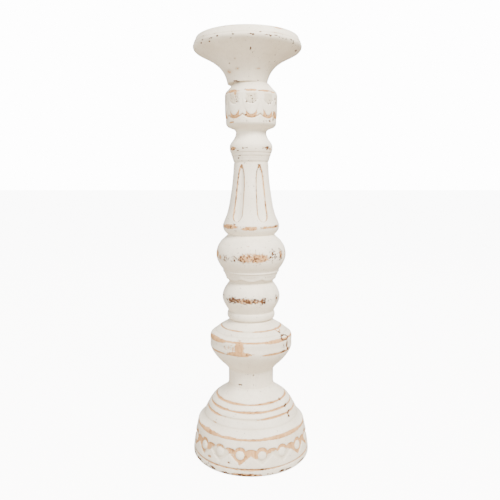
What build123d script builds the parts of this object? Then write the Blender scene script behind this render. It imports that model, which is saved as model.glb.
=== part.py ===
"""Turned and carved wooden candlestick for a pillar candle; the wood stands 450 mm tall.

Five turned sections are stacked on glued hardwood dowels: base, lower knop, middle column,
upper column and candle plate. A steel pricket stands in the plate; a felt disc lines the base.
Millimetres, +Z up. The origin is the centre of the felt's resting face and -Y is the front.
"""

import os

from build123d import *

# Overall sizes
BODY_HEIGHT = 450.0
BASE_RADIUS = 64.9
PLATE_RADIUS = 56.8
PLATE_SHIFT = -4.0  # the plate is glued on this far off the column's axis, in X

# Heights of the wood's underside and of the seams between the turned sections
WOOD_BOTTOM = 0.5
BASE_SEAM = 79.0
KNOP_SEAM = 152.0
COLUMN_SEAM = 245.6
PLATE_SEAM = 404.0

# Radii of the turned sections at those seams
NECK_RADIUS = 25.0
KNOP_TOP_RADIUS = 23.6
COLUMN_SEAM_RADIUS = 25.6
COLLAR_TOP_RADIUS = 18.6
PLATE_FOOT_RADIUS = 21.0

# Felt disc, let into the underside of the base
FELT_RADIUS = 54.0
FELT_THICKNESS = 2.0
FELT_GAP = 0.3

# Dowels and the sockets they are glued into
DOWEL_RADIUS = 8.0
DOWEL_REACH = 20.0  # length in each of the two sections it joins
PLATE_DOWEL_RADIUS = 6.0
PLATE_DOWEL_REACH = 14.0
DOWEL_CHAMFER = 1.0
GLUE_GAP = 0.1
SOCKET_END_GAP = 1.0

# Candle seat in the plate
SEAT_RADIUS = 42.0
SEAT_DEPTH = 5.0
SEAT_FLOOR = BODY_HEIGHT - SEAT_DEPTH
RIM_INNER_RADIUS = 46.0

# Pricket and its washer
SPIKE_RADIUS = 2.5
SPIKE_TIP_RADIUS = 0.4
SPIKE_SHANK = 12.0  # length driven into the plate
SPIKE_STRAIGHT = 5.0
SPIKE_HEIGHT = 17.0
SPIKE_GAP = 0.05
WASHER_RADIUS = 7.0
WASHER_THICKNESS = 1.2
WASHER_GAP = 0.1

# Turned grooves are half round: this is their depth and half their width
GROOVE_RADIUS = 0.9

# Carving: depth, number of motifs round the axis, and turn in degrees of the first from the front
CARVE_DEPTH = 0.8
FLUTE_DEPTH = 1.6
CUTTER_REACH = 80.0
SKIN_OUTER_RADIUS = 70.0  # clear of every turned section that is carved
FLUTES = 6
FLUTE_TURN = 27.5
PETALS = 9
PETAL_TURN = 0.5
LOBES = 8
LOBE_TURN = 23.5
BASE_MOTIFS = 17
BASE_TURN = 180.0 / BASE_MOTIFS  # the front falls midway between two motifs


def groove(radius, height):
    """Turns a round-bottomed ring groove into the part in hand."""
    with BuildSketch(Plane.XZ) as section:
        with Locations((radius, height)):
            Circle(GROOVE_RADIUS)
    revolve(section.sketch, axis=Axis.Z, mode=Mode.SUBTRACT)


def socket(height, radius, depth):
    """Bores a round socket from a seam; a negative depth bores downward."""
    with BuildSketch(Plane.XY.offset(height)) as mouth:
        Circle(radius)
    extrude(mouth.sketch, amount=depth, mode=Mode.SUBTRACT)


def make_dowel(height, radius, reach):
    """Makes a chamfered dowel centred on the seam at this height."""
    with BuildPart() as dowel:
        with BuildSketch(Plane.XY.offset(height - reach)):
            Circle(radius)
        extrude(amount=2 * reach)
        chamfer(dowel.edges().filter_by(GeomType.CIRCLE), length=DOWEL_CHAMFER)
    return dowel


def carving(motif, skin, count, turn):
    """Repeats a motif round the axis and keeps only what lies inside the thin skin."""
    with BuildPart() as ring:
        with PolarLocations(0, count, start_angle=turn):
            add(motif.part)
        add(skin.part, mode=Mode.INTERSECT)
    return ring


# Base carving: a band of scalloped pockets, each with a raised disc left standing in it
DISC_Z = 22.8
DISC_RADIUS = 4.2
POCKET_TIP_Z = 12.7
POCKET_SIDE_Z = 22.0
POCKET_TOP_Z = 26.2
POCKET_HALF = 11.7
ARCH_Z = 24.8
ARCH_RADIUS = 5.8
SMALL_ARCH_Z = 25.2
SMALL_ARCH_RADIUS = 3.2
FRIEZE_BOTTOM_Z = 11.0
FRIEZE_TOP_Z = 33.0
FRIEZE_BOTTOM_RADIUS = 64.0
FRIEZE_TOP_RADIUS = 60.4

with BuildPart() as base_motif:
    with BuildSketch(Plane.XZ):
        Polygon(
            (0, POCKET_TIP_Z),
            (POCKET_HALF, POCKET_SIDE_Z),
            (POCKET_HALF, POCKET_TOP_Z),
            (-POCKET_HALF, POCKET_TOP_Z),
            (-POCKET_HALF, POCKET_SIDE_Z),
            align=None,
        )
        with Locations((0, ARCH_Z)):
            Circle(ARCH_RADIUS)
        with Locations((POCKET_HALF, SMALL_ARCH_Z)):
            Circle(SMALL_ARCH_RADIUS)
        with Locations((0, DISC_Z)):
            Circle(DISC_RADIUS, mode=Mode.SUBTRACT)
    extrude(amount=CUTTER_REACH)

with BuildPart() as base_skin:
    with BuildSketch(Plane.XZ):
        Polygon(
            (FRIEZE_BOTTOM_RADIUS - CARVE_DEPTH, FRIEZE_BOTTOM_Z),
            (SKIN_OUTER_RADIUS, FRIEZE_BOTTOM_Z),
            (SKIN_OUTER_RADIUS, FRIEZE_TOP_Z),
            (FRIEZE_TOP_RADIUS - CARVE_DEPTH, FRIEZE_TOP_Z),
            align=None,
        )
    revolve(axis=Axis.Z)

base_carving = carving(base_motif, base_skin, BASE_MOTIFS, BASE_TURN)

# Base: a grooved dome above a ledge and a tall carved skirt
with BuildPart() as base:
    with BuildSketch(Plane.XZ):
        with BuildLine():
            Polyline((0, WOOD_BOTTOM), (62.4, WOOD_BOTTOM))
            ThreePointArc((62.4, WOOD_BOTTOM), (64.2, 1.4), (BASE_RADIUS, 3.6))
            Polyline((BASE_RADIUS, 3.6), (64.4, 10.0), (59.6, 36.0), (58.7, 38.9))
            ThreePointArc((58.7, 38.9), (55.2, 42.6), (52.2, 46.6))
            ThreePointArc((52.2, 46.6), (46.0, 58.9), (38.2, 67.6))
            ThreePointArc((38.2, 67.6), (30.4, 72.8), (NECK_RADIUS, BASE_SEAM))
            Polyline((NECK_RADIUS, BASE_SEAM), (0, BASE_SEAM), (0, WOOD_BOTTOM))
        make_face()
    revolve(axis=Axis.Z)
    groove(64.7, 9.3)
    groove(48.6, 55.3)
    groove(44.6, 61.3)
    groove(38.5, 67.5)
    socket(WOOD_BOTTOM, FELT_RADIUS + FELT_GAP, FELT_THICKNESS - WOOD_BOTTOM)
    socket(BASE_SEAM, DOWEL_RADIUS + GLUE_GAP, -DOWEL_REACH - SOCKET_END_GAP)
    add(base_carving.part, mode=Mode.SUBTRACT)
base.part.label = "base"

# Lower knop: a straight neck that swells to a banded bulb with a rounded shoulder
BULB_RADIUS = 44.8

with BuildPart() as lower_knop:
    with BuildSketch(Plane.XZ):
        with BuildLine():
            Polyline((0, BASE_SEAM), (NECK_RADIUS, BASE_SEAM), (NECK_RADIUS, 96.5), (26.4, 98.4))
            ThreePointArc((26.4, 98.4), (38.3, 111.1), (BULB_RADIUS, 122.4))
            Polyline((BULB_RADIUS, 122.4), (BULB_RADIUS, 134.8), (44.2, 136.8))
            ThreePointArc((44.2, 136.8), (35.4, 143.7), (KNOP_TOP_RADIUS, KNOP_SEAM))
            Polyline((KNOP_TOP_RADIUS, KNOP_SEAM), (0, KNOP_SEAM), (0, BASE_SEAM))
        make_face()
    revolve(axis=Axis.Z)
    groove(33.2, 145.3)
    socket(BASE_SEAM, DOWEL_RADIUS + GLUE_GAP, DOWEL_REACH + SOCKET_END_GAP)
    socket(KNOP_SEAM, DOWEL_RADIUS + GLUE_GAP, -DOWEL_REACH - SOCKET_END_GAP)
lower_knop.part.label = "lower_knop"

# Middle column carving: notches that leave eight hanging lobes on the band between the balls
NOTCH_HALF = 6.0
NOTCH_TOP_Z = 199.4
NOTCH_BOTTOM_Z = 194.6
BAND_BOTTOM_Z = 193.4
BAND_TOP_Z = 206.4
BAND_BOTTOM_RADIUS = 24.6
BAND_TOP_RADIUS = 29.8

with BuildPart() as lobe_notch:
    with BuildSketch(Plane.XZ):
        Polygon(
            (0, NOTCH_TOP_Z),
            (-NOTCH_HALF, NOTCH_BOTTOM_Z),
            (NOTCH_HALF, NOTCH_BOTTOM_Z),
            align=None,
        )
    extrude(amount=CUTTER_REACH)

with BuildPart() as lobe_skin:
    with BuildSketch(Plane.XZ):
        Polygon(
            (BAND_BOTTOM_RADIUS - CARVE_DEPTH, BAND_BOTTOM_Z),
            (SKIN_OUTER_RADIUS, BAND_BOTTOM_Z),
            (SKIN_OUTER_RADIUS, BAND_TOP_Z),
            (BAND_TOP_RADIUS - CARVE_DEPTH, BAND_TOP_Z),
            align=None,
        )
    revolve(axis=Axis.Z)

lobe_carving = carving(lobe_notch, lobe_skin, LOBES, LOBE_TURN)

# Middle column: a ring, a small ball, the carved band and a large ball
SMALL_BALL_RADIUS = 31.4
LARGE_BALL_RADIUS = 37.8

with BuildPart() as middle_column:
    with BuildSketch(Plane.XZ):
        with BuildLine():
            Polyline((0, KNOP_SEAM), (KNOP_TOP_RADIUS, KNOP_SEAM))
            ThreePointArc((KNOP_TOP_RADIUS, KNOP_SEAM), (26.0, 157.4), (25.0, 162.0))
            ThreePointArc((25.0, 162.0), (29.2, 169.7), (SMALL_BALL_RADIUS, 178.0))
            ThreePointArc((SMALL_BALL_RADIUS, 178.0), (29.9, 184.9), (24.4, 193.4))
            ThreePointArc((24.4, 193.4), (28.0, 200.2), (29.8, 206.6))
            ThreePointArc((29.8, 206.6), (35.5, 215.4), (LARGE_BALL_RADIUS, 225.0))
            ThreePointArc((LARGE_BALL_RADIUS, 225.0), (35.3, 234.9), (COLUMN_SEAM_RADIUS, COLUMN_SEAM))
            Polyline((COLUMN_SEAM_RADIUS, COLUMN_SEAM), (0, COLUMN_SEAM), (0, KNOP_SEAM))
        make_face()
    revolve(axis=Axis.Z)
    socket(KNOP_SEAM, DOWEL_RADIUS + GLUE_GAP, DOWEL_REACH + SOCKET_END_GAP)
    socket(COLUMN_SEAM, DOWEL_RADIUS + GLUE_GAP, -DOWEL_REACH - SOCKET_END_GAP)
    add(lobe_carving.part, mode=Mode.SUBTRACT)
middle_column.part.label = "middle_column"

# Upper column carving: six lancet flutes on the vase
FLUTE_HALF = 5.6
FLUTE_FOOT_Z = 266.6
FLUTE_TIP_Z = 320.0
FLUTE_SHOULDER_Z = 308.0
FLUTE_SHOULDER_HALF = 4.0
FLUTE_BAND_BOTTOM_Z = 260.0
FLUTE_BAND_TOP_Z = 321.0

with BuildPart() as flute:
    with BuildSketch(Plane.XZ):
        with BuildLine():
            ThreePointArc((0, FLUTE_TIP_Z), (2.7, 314.8), (FLUTE_SHOULDER_HALF, FLUTE_SHOULDER_Z))
            Line((FLUTE_SHOULDER_HALF, FLUTE_SHOULDER_Z), (FLUTE_HALF, FLUTE_FOOT_Z))
            ThreePointArc(
                (FLUTE_HALF, FLUTE_FOOT_Z),
                (0, FLUTE_FOOT_Z - FLUTE_HALF),
                (-FLUTE_HALF, FLUTE_FOOT_Z),
            )
            Line((-FLUTE_HALF, FLUTE_FOOT_Z), (-FLUTE_SHOULDER_HALF, FLUTE_SHOULDER_Z))
            ThreePointArc((-FLUTE_SHOULDER_HALF, FLUTE_SHOULDER_Z), (-2.7, 314.8), (0, FLUTE_TIP_Z))
        make_face()
    extrude(amount=CUTTER_REACH)

with BuildPart() as flute_skin:
    with BuildSketch(Plane.XZ):
        with BuildLine():
            ThreePointArc(
                (29.2 - FLUTE_DEPTH, FLUTE_BAND_BOTTOM_Z),
                (25.4 - FLUTE_DEPTH, 271.8),
                (22.2 - FLUTE_DEPTH, 289.2),
            )
            ThreePointArc(
                (22.2 - FLUTE_DEPTH, 289.2),
                (19.9 - FLUTE_DEPTH, 306.6),
                (18.7 - FLUTE_DEPTH, FLUTE_BAND_TOP_Z),
            )
            Polyline(
                (18.7 - FLUTE_DEPTH, FLUTE_BAND_TOP_Z),
                (SKIN_OUTER_RADIUS, FLUTE_BAND_TOP_Z),
                (SKIN_OUTER_RADIUS, FLUTE_BAND_BOTTOM_Z),
                (29.2 - FLUTE_DEPTH, FLUTE_BAND_BOTTOM_Z),
            )
        make_face()
    revolve(axis=Axis.Z)

flute_carving = carving(flute, flute_skin, FLUTES, FLUTE_TURN)

# Collar carving: a drum of petals, each outlined by a wide scallop with a short one above it
DRUM_RADIUS = 27.2
SCALLOP_WIDTH = 1.4
SCALLOP_RADIUS = 10.0
SCALLOP_Z = 376.8
SCALLOP_CUSP_Z = 370.8
GOUGE_RADIUS = 5.6
GOUGE_Z = 387.0
GOUGE_TOP_Z = 384.8
PETAL_HALF = 9.2
PETAL_SKIN_Z = 364.0
PETAL_SKIN_HEIGHT = 29.0

with BuildPart() as petal:
    with BuildSketch(Plane.XZ) as wide_scallop:
        with Locations((0, SCALLOP_Z)):
            Circle(SCALLOP_RADIUS)
            Circle(SCALLOP_RADIUS - SCALLOP_WIDTH, mode=Mode.SUBTRACT)
        with Locations((0, SCALLOP_CUSP_Z)):
            Rectangle(2 * PETAL_HALF, SCALLOP_RADIUS, align=(Align.CENTER, Align.MAX), mode=Mode.INTERSECT)
    extrude(amount=CUTTER_REACH)
    with BuildSketch(Plane.XZ) as short_scallop:
        with Locations((0, GOUGE_Z)):
            Circle(GOUGE_RADIUS)
            Circle(GOUGE_RADIUS - SCALLOP_WIDTH, mode=Mode.SUBTRACT)
        with Locations((0, GOUGE_TOP_Z)):
            Rectangle(2 * GOUGE_RADIUS, GOUGE_RADIUS, align=(Align.CENTER, Align.MAX), mode=Mode.INTERSECT)
    extrude(amount=CUTTER_REACH)

with BuildPart() as petal_skin:
    with BuildSketch(Plane.XY.offset(PETAL_SKIN_Z)):
        Circle(SKIN_OUTER_RADIUS)
        Circle(DRUM_RADIUS - CARVE_DEPTH, mode=Mode.SUBTRACT)
    extrude(amount=PETAL_SKIN_HEIGHT)

petal_carving = carving(petal, petal_skin, PETALS, PETAL_TURN)

# Upper column: a fluted vase, a bead, a slim neck and the carved collar that carries the plate
BEAD_RADIUS = 22.9

with BuildPart() as upper_column:
    with BuildSketch(Plane.XZ):
        with BuildLine():
            Polyline((0, COLUMN_SEAM), (COLUMN_SEAM_RADIUS, COLUMN_SEAM))
            ThreePointArc((COLUMN_SEAM_RADIUS, COLUMN_SEAM), (29.2, 250.1), (30.5, 254.5))
            ThreePointArc((30.5, 254.5), (30.3, 256.8), (29.4, 259.3))
            ThreePointArc((29.4, 259.3), (25.4, 271.8), (22.2, 289.2))
            ThreePointArc((22.2, 289.2), (19.9, 306.6), (18.6, 322.0))
            Polyline((18.6, 322.0), (18.6, 324.0))
            ThreePointArc((18.6, 324.0), (21.1, 330.5), (BEAD_RADIUS, 337.5))
            ThreePointArc((BEAD_RADIUS, 337.5), (22.2, 341.6), (19.6, 345.7))
            ThreePointArc((19.6, 345.7), (17.0, 350.2), (16.2, 354.8))
            ThreePointArc((16.2, 354.8), (18.4, 357.6), (22.4, 359.6))
            Polyline((22.4, 359.6), (26.4, 362.8), (DRUM_RADIUS, 370.0), (DRUM_RADIUS, 394.0))
            ThreePointArc((DRUM_RADIUS, 394.0), (22.6, 399.6), (COLLAR_TOP_RADIUS, PLATE_SEAM))
            Polyline((COLLAR_TOP_RADIUS, PLATE_SEAM), (0, PLATE_SEAM), (0, COLUMN_SEAM))
        make_face()
    revolve(axis=Axis.Z)
    socket(COLUMN_SEAM, DOWEL_RADIUS + GLUE_GAP, DOWEL_REACH + SOCKET_END_GAP)
    with BuildSketch(Plane.XY.offset(PLATE_SEAM)):
        with Locations((PLATE_SHIFT, 0)):
            Circle(PLATE_DOWEL_RADIUS + GLUE_GAP)
    extrude(amount=-PLATE_DOWEL_REACH - SOCKET_END_GAP, mode=Mode.SUBTRACT)
    add(flute_carving.part, mode=Mode.SUBTRACT)
    add(petal_carving.part, mode=Mode.SUBTRACT)
upper_column.part.label = "upper_column"

# Candle plate: a flared dish with a rounded rim and a sunk flat seat; built on its own axis
with BuildPart() as plate_blank:
    with BuildSketch(Plane.XZ):
        with BuildLine():
            Polyline((0, PLATE_SEAM), (PLATE_FOOT_RADIUS, PLATE_SEAM))
            ThreePointArc((PLATE_FOOT_RADIUS, PLATE_SEAM), (22.9, 410.9), (27.1, 418.4))
            ThreePointArc((27.1, 418.4), (35.6, 426.3), (51.1, 434.8))
            ThreePointArc((51.1, 434.8), (55.2, 437.3), (PLATE_RADIUS, 441.3))
            Polyline((PLATE_RADIUS, 441.3), (53.4, 448.6))
            ThreePointArc((53.4, 448.6), (52.4, 449.7), (51.0, BODY_HEIGHT))
            Polyline((51.0, BODY_HEIGHT), (RIM_INNER_RADIUS, BODY_HEIGHT))
            ThreePointArc((RIM_INNER_RADIUS, BODY_HEIGHT), (43.2, 446.6), (SEAT_RADIUS, SEAT_FLOOR))
            Polyline((SEAT_RADIUS, SEAT_FLOOR), (0, SEAT_FLOOR), (0, PLATE_SEAM))
        make_face()
    revolve(axis=Axis.Z)
    groove(56.9, 442.4)
    socket(PLATE_SEAM, PLATE_DOWEL_RADIUS + GLUE_GAP, PLATE_DOWEL_REACH + SOCKET_END_GAP)
    socket(SEAT_FLOOR, SPIKE_RADIUS + SPIKE_GAP, -SPIKE_SHANK - SOCKET_END_GAP)
    socket(SEAT_FLOOR, WASHER_RADIUS + WASHER_GAP, -WASHER_THICKNESS)

with BuildPart() as candle_plate:
    with Locations((PLATE_SHIFT, 0, 0)):
        add(plate_blank.part)
candle_plate.part.label = "candle_plate"

# Pricket: a straight shank with a long tapered point
with BuildPart() as candle_spike:
    with BuildSketch(Plane.XZ):
        with BuildLine():
            Polyline((0, SEAT_FLOOR - SPIKE_SHANK), (SPIKE_RADIUS, SEAT_FLOOR - SPIKE_SHANK))
            Polyline(
                (SPIKE_RADIUS, SEAT_FLOOR - SPIKE_SHANK),
                (SPIKE_RADIUS, SEAT_FLOOR + SPIKE_STRAIGHT),
                (SPIKE_TIP_RADIUS, SEAT_FLOOR + SPIKE_HEIGHT - SPIKE_TIP_RADIUS),
                (0, SEAT_FLOOR + SPIKE_HEIGHT),
                (0, SEAT_FLOOR - SPIKE_SHANK),
            )
        make_face()
    revolve(axis=Axis.Z)
candle_spike.part.locate(Location((PLATE_SHIFT, 0, 0)))
candle_spike.part.label = "candle_spike"

# Washer round the pricket, sunk flush with the seat
with BuildPart() as spike_washer:
    with BuildSketch(Plane.XY.offset(SEAT_FLOOR - WASHER_THICKNESS)):
        with Locations((PLATE_SHIFT, 0)):
            Circle(WASHER_RADIUS)
            Circle(SPIKE_RADIUS + SPIKE_GAP, mode=Mode.SUBTRACT)
    extrude(amount=WASHER_THICKNESS)
    fillet(spike_washer.faces().sort_by(Axis.Z)[-1].outer_wire().edges(), radius=0.4)
spike_washer.part.label = "spike_washer"

# Glued dowels between the sections
lower_dowel = make_dowel(BASE_SEAM, DOWEL_RADIUS, DOWEL_REACH)
lower_dowel.part.label = "lower_dowel"

middle_dowel = make_dowel(KNOP_SEAM, DOWEL_RADIUS, DOWEL_REACH)
middle_dowel.part.label = "middle_dowel"

upper_dowel = make_dowel(COLUMN_SEAM, DOWEL_RADIUS, DOWEL_REACH)
upper_dowel.part.label = "upper_dowel"

plate_dowel = make_dowel(PLATE_SEAM, PLATE_DOWEL_RADIUS, PLATE_DOWEL_REACH)
plate_dowel.part.locate(Location((PLATE_SHIFT, 0, 0)))
plate_dowel.part.label = "plate_dowel"

# Felt disc the candlestick stands on
with BuildPart() as felt_pad:
    with BuildSketch(Plane.XY):
        Circle(FELT_RADIUS)
    extrude(amount=FELT_THICKNESS)
felt_pad.part.label = "felt_pad"

os.makedirs("parts", exist_ok=True)
export_step(base.part, "parts/base.step")
export_step(lower_knop.part, "parts/lower_knop.step")
export_step(middle_column.part, "parts/middle_column.step")
export_step(upper_column.part, "parts/upper_column.step")
export_step(candle_plate.part, "parts/candle_plate.step")
export_step(candle_spike.part, "parts/candle_spike.step")
export_step(spike_washer.part, "parts/spike_washer.step")
export_step(lower_dowel.part, "parts/lower_dowel.step")
export_step(middle_dowel.part, "parts/middle_dowel.step")
export_step(upper_dowel.part, "parts/upper_dowel.step")
export_step(plate_dowel.part, "parts/plate_dowel.step")
export_step(felt_pad.part, "parts/felt_pad.step")
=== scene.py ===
from math import radians

import bpy
import numpy as np
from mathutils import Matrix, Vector


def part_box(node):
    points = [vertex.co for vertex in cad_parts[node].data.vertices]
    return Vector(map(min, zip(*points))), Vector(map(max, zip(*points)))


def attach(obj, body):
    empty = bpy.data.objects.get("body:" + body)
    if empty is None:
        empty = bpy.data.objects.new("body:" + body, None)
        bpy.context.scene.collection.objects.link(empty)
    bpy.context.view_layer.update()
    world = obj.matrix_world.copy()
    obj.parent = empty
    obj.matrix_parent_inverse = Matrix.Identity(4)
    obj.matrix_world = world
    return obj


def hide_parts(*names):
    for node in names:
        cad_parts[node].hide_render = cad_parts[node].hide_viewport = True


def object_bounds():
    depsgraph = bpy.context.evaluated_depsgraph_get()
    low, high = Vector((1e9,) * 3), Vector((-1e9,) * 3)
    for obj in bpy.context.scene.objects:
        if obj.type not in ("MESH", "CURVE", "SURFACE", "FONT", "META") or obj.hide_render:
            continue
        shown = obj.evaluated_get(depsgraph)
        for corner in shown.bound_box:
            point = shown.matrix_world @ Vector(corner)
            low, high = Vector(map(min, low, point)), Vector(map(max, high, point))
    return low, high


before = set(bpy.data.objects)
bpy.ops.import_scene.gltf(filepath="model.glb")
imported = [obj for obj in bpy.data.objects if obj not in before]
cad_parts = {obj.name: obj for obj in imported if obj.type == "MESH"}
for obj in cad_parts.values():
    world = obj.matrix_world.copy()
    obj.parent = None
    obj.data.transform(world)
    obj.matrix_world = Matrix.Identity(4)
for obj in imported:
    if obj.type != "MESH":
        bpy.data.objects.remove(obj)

MM = 0.001  # outlines and carving are in millimetres, the scene is in metres

# Turned surfaces
NOISE_PHASE = 6.283  # one full turn in radians, as the random draws use it
WOBBLE = 0.10  # unevenness left by hand turning
WOBBLE_FROM_R = 3.0  # no unevenness nearer the axis than this
WOBBLE_FULL_R = 12.0
SHARP_ANGLE = 40.0  # edges steeper than this stay crisp
GROOVE_SPREAD = 1.35  # width of the worn strip in a groove, as a share of the groove's own
GROOVE_UNEVEN = 0.55
PATCH_FALL = 1.5  # above 1 a patch is flat in the middle and falls off quickly

# Sockets of a mix node that is set to colours
MIX_FACTOR, MIX_A, MIX_B, MIX_RESULT = 0, 6, 7, 2

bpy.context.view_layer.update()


# ---------------------------------------------------------------- shape helpers

def smooth_run(points, step):
    """Samples a smooth curve through (radius, height) points, about one sample per step."""
    p = np.array(points, float)
    gaps = np.linalg.norm(np.diff(p, axis=0), axis=1)
    t = np.concatenate([[0.0], np.cumsum(gaps)])
    slope = np.gradient(p, t, axis=0)
    count = max(2, int(np.ceil(t[-1] / step)) + 1)
    s = np.linspace(0.0, t[-1], count)
    i = np.clip(np.searchsorted(t, s, side="right") - 1, 0, len(gaps) - 1)
    h = gaps[i][:, None]
    u = ((s - t[i]) / gaps[i])[:, None]
    return ((2 * u**3 - 3 * u**2 + 1) * p[i] + (u**3 - 2 * u**2 + u) * h * slope[i]
            + (3 * u**2 - 2 * u**3) * p[i + 1] + (u**3 - u**2) * h * slope[i + 1])


def trace(runs, step):
    """Joins smooth runs end to end; the outline keeps a corner wherever two runs meet."""
    parts = [smooth_run(runs[0], step)]
    for run in runs[1:]:
        parts.append(smooth_run(run, step)[1:])
    return np.concatenate(parts)


def step_up(value, low, high):
    """0 below low, 1 above high, smooth between."""
    x = np.clip((value - low) / (high - low), 0.0, 1.0)
    return x * x * (3 - 2 * x)


def wrap(angle, period=360.0):
    """Folds an angle in degrees into plus or minus half a period."""
    return (angle + period / 2) % period - period / 2


def bell(value, width):
    """1 at zero, falling smoothly to 0 some widths away."""
    return np.exp(-(value / width) ** 2)


def ripple(seed, az, z, turns=9, rise=0.25, waves=12):
    """Smooth pseudo-noise round the axis, from about -1 to 1."""
    draw = np.random.default_rng(seed)
    total = 0.0
    for _ in range(waves):
        k = draw.integers(1, turns + 1)
        m = draw.normal(0.0, rise)
        total = total + np.cos(np.radians(az) * k + m * z + draw.uniform(0, NOISE_PHASE))
    return total / np.sqrt(waves / 2) / 2


class Skin:
    """A turned surface while it is carved, with the depth, the wear and the painted shade of each
    of its points.

    Turns are in degrees to the right of the front, lengths in millimetres.
    """

    def __init__(self, runs, step, segments):
        self.outline = trace(runs, step)
        along = np.linalg.norm(np.diff(self.outline, axis=0), axis=1)
        self.s = np.concatenate([[0.0], np.cumsum(along)])[:, None]
        self.r = self.outline[:, :1]
        self.z = self.outline[:, 1:]
        self.az = np.linspace(-180.0, 180.0, segments, endpoint=False)[None, :]
        shape = (len(self.outline), segments)
        self.depth = np.zeros(shape)
        self.tan = np.zeros(shape)
        self.dark = np.zeros(shape)
        self.painted_shade = np.zeros(shape)

    def where(self, height):
        """Distance along the outline at which it first passes this height."""
        z = self.z[:, 0]
        hit = np.nonzero((z[:-1] - height) * (z[1:] - height) <= 0)[0]
        return self.s[hit[0], 0]

    def wear_and_shade(self, tan=0.0, dark=0.0, painted_shade=0.0):
        """Raises bare wood, darkened wood and painted shade to at least these amounts."""
        self.tan = np.maximum(self.tan, tan)
        self.dark = np.maximum(self.dark, dark)
        self.painted_shade = np.maximum(self.painted_shade, painted_shade)

    def ring(self, height, width, depth, tan=0.0, dark=0.0, seed=1, gap=0.0):
        """A turned groove with wear in it that comes and goes round the axis, darkened along its
        length with painted shade.
        """
        across = self.s - self.where(height)
        shape = bell(across, width)
        self.depth += depth * shape
        keep = np.clip(1 - gap * (0.5 + 0.9 * ripple(seed, self.az, 0.0, 14)), 0, 1)
        spread = GROOVE_SPREAD + GROOVE_UNEVEN * ripple(seed + 5, self.az, 0.0, 7)
        wide = bell(across, width * spread)
        spots = step_up(ripple(seed + 7, self.az, self.z, 22), 0.1, 0.7)
        # The third amount is painted shade along the groove
        self.wear_and_shade(tan * wide * keep, dark * shape * spots, (0.3 + 0.5 * min(tan, 1.0)) * wide)

    def edge(self, height, width, tan, dark=0.0, seed=1, turns=16, bare=0.0):
        """Paint rubbed off along a raised edge, in patches."""
        shape = bell(self.s - self.where(height), width)
        patchy = step_up(ripple(seed, self.az, self.z, turns, 0.15), bare - 0.35, bare + 0.45)
        spots = step_up(ripple(seed + 3, self.az, self.z, turns * 2, 0.4), 0.15, 0.75)
        self.wear_and_shade(tan * shape * patchy, dark * shape * spots)

    def spot(self, turn, height, half_turn, half_height):
        """An oval that is 1 in the middle and 0 outside."""
        a = wrap(self.az - turn) / half_turn
        b = (self.z - height) / half_height
        return np.exp(-(a * a + b * b) ** PATCH_FALL)

    def patch(self, turn, height, half_turn, half_height, tan=0.0, dark=0.0, painted_shade=0.0):
        """One worn patch; its last amount is painted shade."""
        shape = self.spot(turn, height, half_turn, half_height)
        self.wear_and_shade(tan * shape, dark * shape, painted_shade * shape)

    def patches(self, rows):
        """Worn patches, each (turn, height, half turn, half height, tan, dark, painted shade)."""
        for row in rows:
            self.patch(*row)

    def clean(self, turn, height, half_turn, half_height, amount=1.0):
        """Paint left whole round this spot."""
        keep = 1 - amount * self.spot(turn, height, half_turn, half_height)
        self.tan *= keep
        self.dark *= keep

    def sideways(self, count, turn, radius):
        """Arc distance from the middle of the nearest motif."""
        return np.radians(wrap(self.az - turn, 360.0 / count)) * radius

    def motif_number(self, count, turn):
        """Which motif each point belongs to."""
        period = 360.0 / count
        local = wrap(self.az - turn, period)
        return np.round((self.az - turn - local) / period).astype(int) % count

    def build(self, name, node, material, closed=True):
        """Makes the mesh on the CAD node's own axis, with its foot at the node's own height."""
        low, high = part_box(node)
        centre = Vector(((low[0] + high[0]) / 2, (low[1] + high[1]) / 2, 0))
        lift = low[2] / MM - float(self.z.min())
        flow = np.gradient(self.outline, axis=0)
        flow /= np.linalg.norm(flow, axis=1)[:, None]
        # Each piece draws its own unevenness, seeded by the length of its name
        wobble = WOBBLE * ripple(len(name) * 31, self.az, self.z, 4, 0.05)
        push = self.depth - wobble * step_up(self.r, WOBBLE_FROM_R, WOBBLE_FULL_R)
        radius = self.r - flow[:, 1:] * push
        height = self.z + flow[:, :1] * push + lift
        rows, cols = radius.shape
        turn = np.radians(self.az - 90.0)
        xyz = np.stack([radius * np.cos(turn), radius * np.sin(turn), height + 0 * turn], axis=2)
        points = xyz.reshape(-1, 3) * MM
        points[:, 0] += centre.x
        points[:, 1] += centre.y
        index = np.arange(rows * cols).reshape(rows, cols)
        beside = np.roll(index, -1, axis=1)
        sides = np.stack([index[:-1], beside[:-1], beside[1:], index[1:]], axis=2)
        faces = sides.reshape(-1, 4).tolist()
        marks = [a.reshape(-1) for a in (self.tan, self.dark, self.painted_shade)]
        if closed:
            ends = [[centre.x, centre.y, float(height[row].mean()) * MM] for row in (0, -1)]
            points = np.concatenate([points, ends])
            marks = [np.append(a, [0.0, 0.0]) for a in marks]
            first, last = rows * cols, rows * cols + 1
            faces += [[first, b, a] for a, b in zip(index[0].tolist(), beside[0].tolist())]
            faces += [[last, a, b] for a, b in zip(index[-1].tolist(), beside[-1].tolist())]
        else:
            faces += np.stack([index[-1], beside[-1], beside[0], index[0]], axis=1).tolist()
        mesh = bpy.data.meshes.new(name)
        mesh.from_pydata(points.tolist(), [], faces)
        mesh.polygons.foreach_set("use_smooth", [True] * len(mesh.polygons))
        mesh.set_sharp_from_angle(angle=radians(SHARP_ANGLE))
        # Colour layer: bare wood, darkened wood and painted shade for each point
        layer = mesh.color_attributes.new("wear_and_shade", "FLOAT_COLOR", "POINT")
        colour = np.stack(marks + [np.ones(len(points))], axis=1).astype(np.float32)
        layer.data.foreach_set("color", colour.reshape(-1))
        mesh.materials.append(material)
        mesh.update()
        thing = bpy.data.objects.new(name, mesh)
        bpy.context.scene.collection.objects.link(thing)
        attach(thing, "root")
        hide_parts(node)


# ---------------------------------------------------------------- material helpers

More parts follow.
